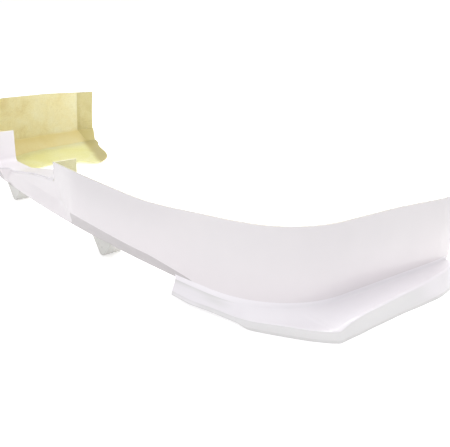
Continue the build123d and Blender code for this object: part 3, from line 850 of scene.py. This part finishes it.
# ---------------------------------------------------------------------------
# CAD pieces kept as they are: name, material, slot
# ---------------------------------------------------------------------------
CAD_PIECES = [
    ("notch_return", RETURN_FLANGE, "gelcoat"),
    ("strake_left", STRAKE_SHADED_GELCOAT, "strake_gelcoat"),
    ("strake_right", STRAKE_SHADED_GELCOAT, "strake_gelcoat"),
    ("floor_panel_left", FLOOR_LAMINATE, "floor_laminate"),
    ("floor_panel_right", FLOOR_LAMINATE, "floor_laminate"),
    ("seal_tape_left", FOAM, "foam"),
    ("seal_tape_right", FOAM, "foam"),
    ("mounting_tab_far_left", STEEL, "steel"),
    ("mounting_tab_mid", STEEL, "steel"),
    ("mounting_tab_mid_right", STEEL, "steel"),
    ("mounting_tab_far_right", STEEL, "steel"),
    ("tab_bond_pads", PASTE, "bond_paste"),
    ("spring_nuts", SPRING_STEEL, "spring_steel"),
]
for name, material, slot in CAD_PIECES:
    piece = nodes[name]
    if not piece.material_slots:
        piece.data.materials.append(material)
    for material_slot in piece.material_slots:
        material_slot.material = material
    if name.startswith("strake"):
        bevel = piece.modifiers.new("eased_edges", "BEVEL")
        bevel.width, bevel.segments = 0.0035, 4
        bevel.limit_method, bevel.angle_limit = "ANGLE", math.radians(25)


# ---------------------------------------------------------------------------
# Floor, world, lights and camera, in metres
# ---------------------------------------------------------------------------
def pale_floor(half=60.0, z=-0.0005):
    mesh = bpy.data.meshes.new("floor")
    corners = [(-half, -half, z), (half, -half, z), (half, half, z), (-half, half, z)]
    mesh.from_pydata(corners, [], [(0, 1, 2, 3)])
    floor = bpy.data.objects.new("floor", mesh)
    bpy.context.collection.objects.link(floor)
    mat = Material("floor_pale")
    to_camera = mat.node("ShaderNodeLightPath").outputs["Is Camera Ray"]
    mat.feed(mat.shader, {
        "Base Color": mat.ramp(mat.noise(scale=0.8),
                               (0.3, (0.93, 0.93, 0.935)), (0.7, (0.95, 0.95, 0.95))),
        "Roughness": 0.9, "Specular IOR Level": 0.1, "Emission Color": (1, 1, 1),
        "Emission Strength": mat.spread(to_camera, by=0.20, base=0.24)})
    floor.data.materials.append(mat.data)


def soft_world(light=0.64, extra_to_camera=0.46):
    """White world, brighter to the camera than as a light."""
    world = bpy.data.worlds.new("soft_white")
    bpy.context.scene.world = world
    world.use_nodes = True
    tree = world.node_tree
    background = tree.nodes["Background"]
    background.inputs[0].default_value = (1.0, 1.0, 1.0, 1)
    rays = tree.nodes.new("ShaderNodeLightPath")
    strength = tree.nodes.new("ShaderNodeMath")
    strength.operation = "MULTIPLY_ADD"
    strength.inputs[1].default_value = extra_to_camera
    strength.inputs[2].default_value = light
    tree.links.new(rays.outputs["Is Camera Ray"], strength.inputs[0])
    tree.links.new(strength.outputs[0], background.inputs[1])


def area(name, at, target, size, power, colour=(1, 1, 1)):
    light = bpy.data.lights.new(name, "AREA")
    light.size, light.energy, light.color = size, power, colour
    lamp = bpy.data.objects.new(name, light)
    lamp.location = at
    lamp.rotation_euler = (Vector(target) - Vector(at)).to_track_quat("-Z", "Y").to_euler()
    bpy.context.collection.objects.link(lamp)


def corner_camera():
    """From beyond the front right corner, looking down across the band."""
    pitch, swing, roll = math.radians(21.780), 0.7706, math.radians(3.129)
    view = Vector((-math.cos(swing) * math.cos(pitch), math.sin(swing) * math.cos(pitch),
                   -math.sin(pitch)))
    level_right = Vector((math.sin(swing), math.cos(swing), 0.0))
    level_up = level_right.cross(view)
    right = level_right * math.cos(roll) + level_up * math.sin(roll)
    up = level_up * math.cos(roll) - level_right * math.sin(roll)
    data = bpy.data.cameras.new("camera")
    data.sensor_width, data.sensor_fit, data.lens = 36.0, "HORIZONTAL", 44.8
    data.clip_end = 200.0
    camera = bpy.data.objects.new("camera", data)
    bpy.context.collection.objects.link(camera)
    pose = Matrix((right, up, -view)).transposed().to_4x4()
    pose.translation = (1.26243, -0.88886, 0.56160)
    camera.matrix_world = pose
    bpy.context.scene.camera = camera


pale_floor()
soft_world()
area("key_top", at=(0.3, -0.2, 3.2), target=(0.0, 0.0, 0.0), size=3.4, power=29)
area("fill_front", at=(1.6, -2.8, 1.2), target=(0.2, -0.2, 0.1), size=2.8, power=9,
     colour=(1.0, 0.985, 0.985))
area("inner_fill", at=(0.35, 0.95, 1.15), target=(-0.78, 0.12, 0.08), size=0.9, power=17,
     colour=(1.0, 0.99, 0.96))
area("side_left", at=(-2.2, 2.4, 1.8), target=(0.0, 0.0, 0.05), size=2.2, power=14,
     colour=(1.0, 0.99, 0.97))
corner_camera()

view_settings = bpy.context.scene.view_settings
view_settings.view_transform = "Standard"
view_settings.look = "None"
view_settings.exposure = 0.0
view_settings.gamma = 1.0
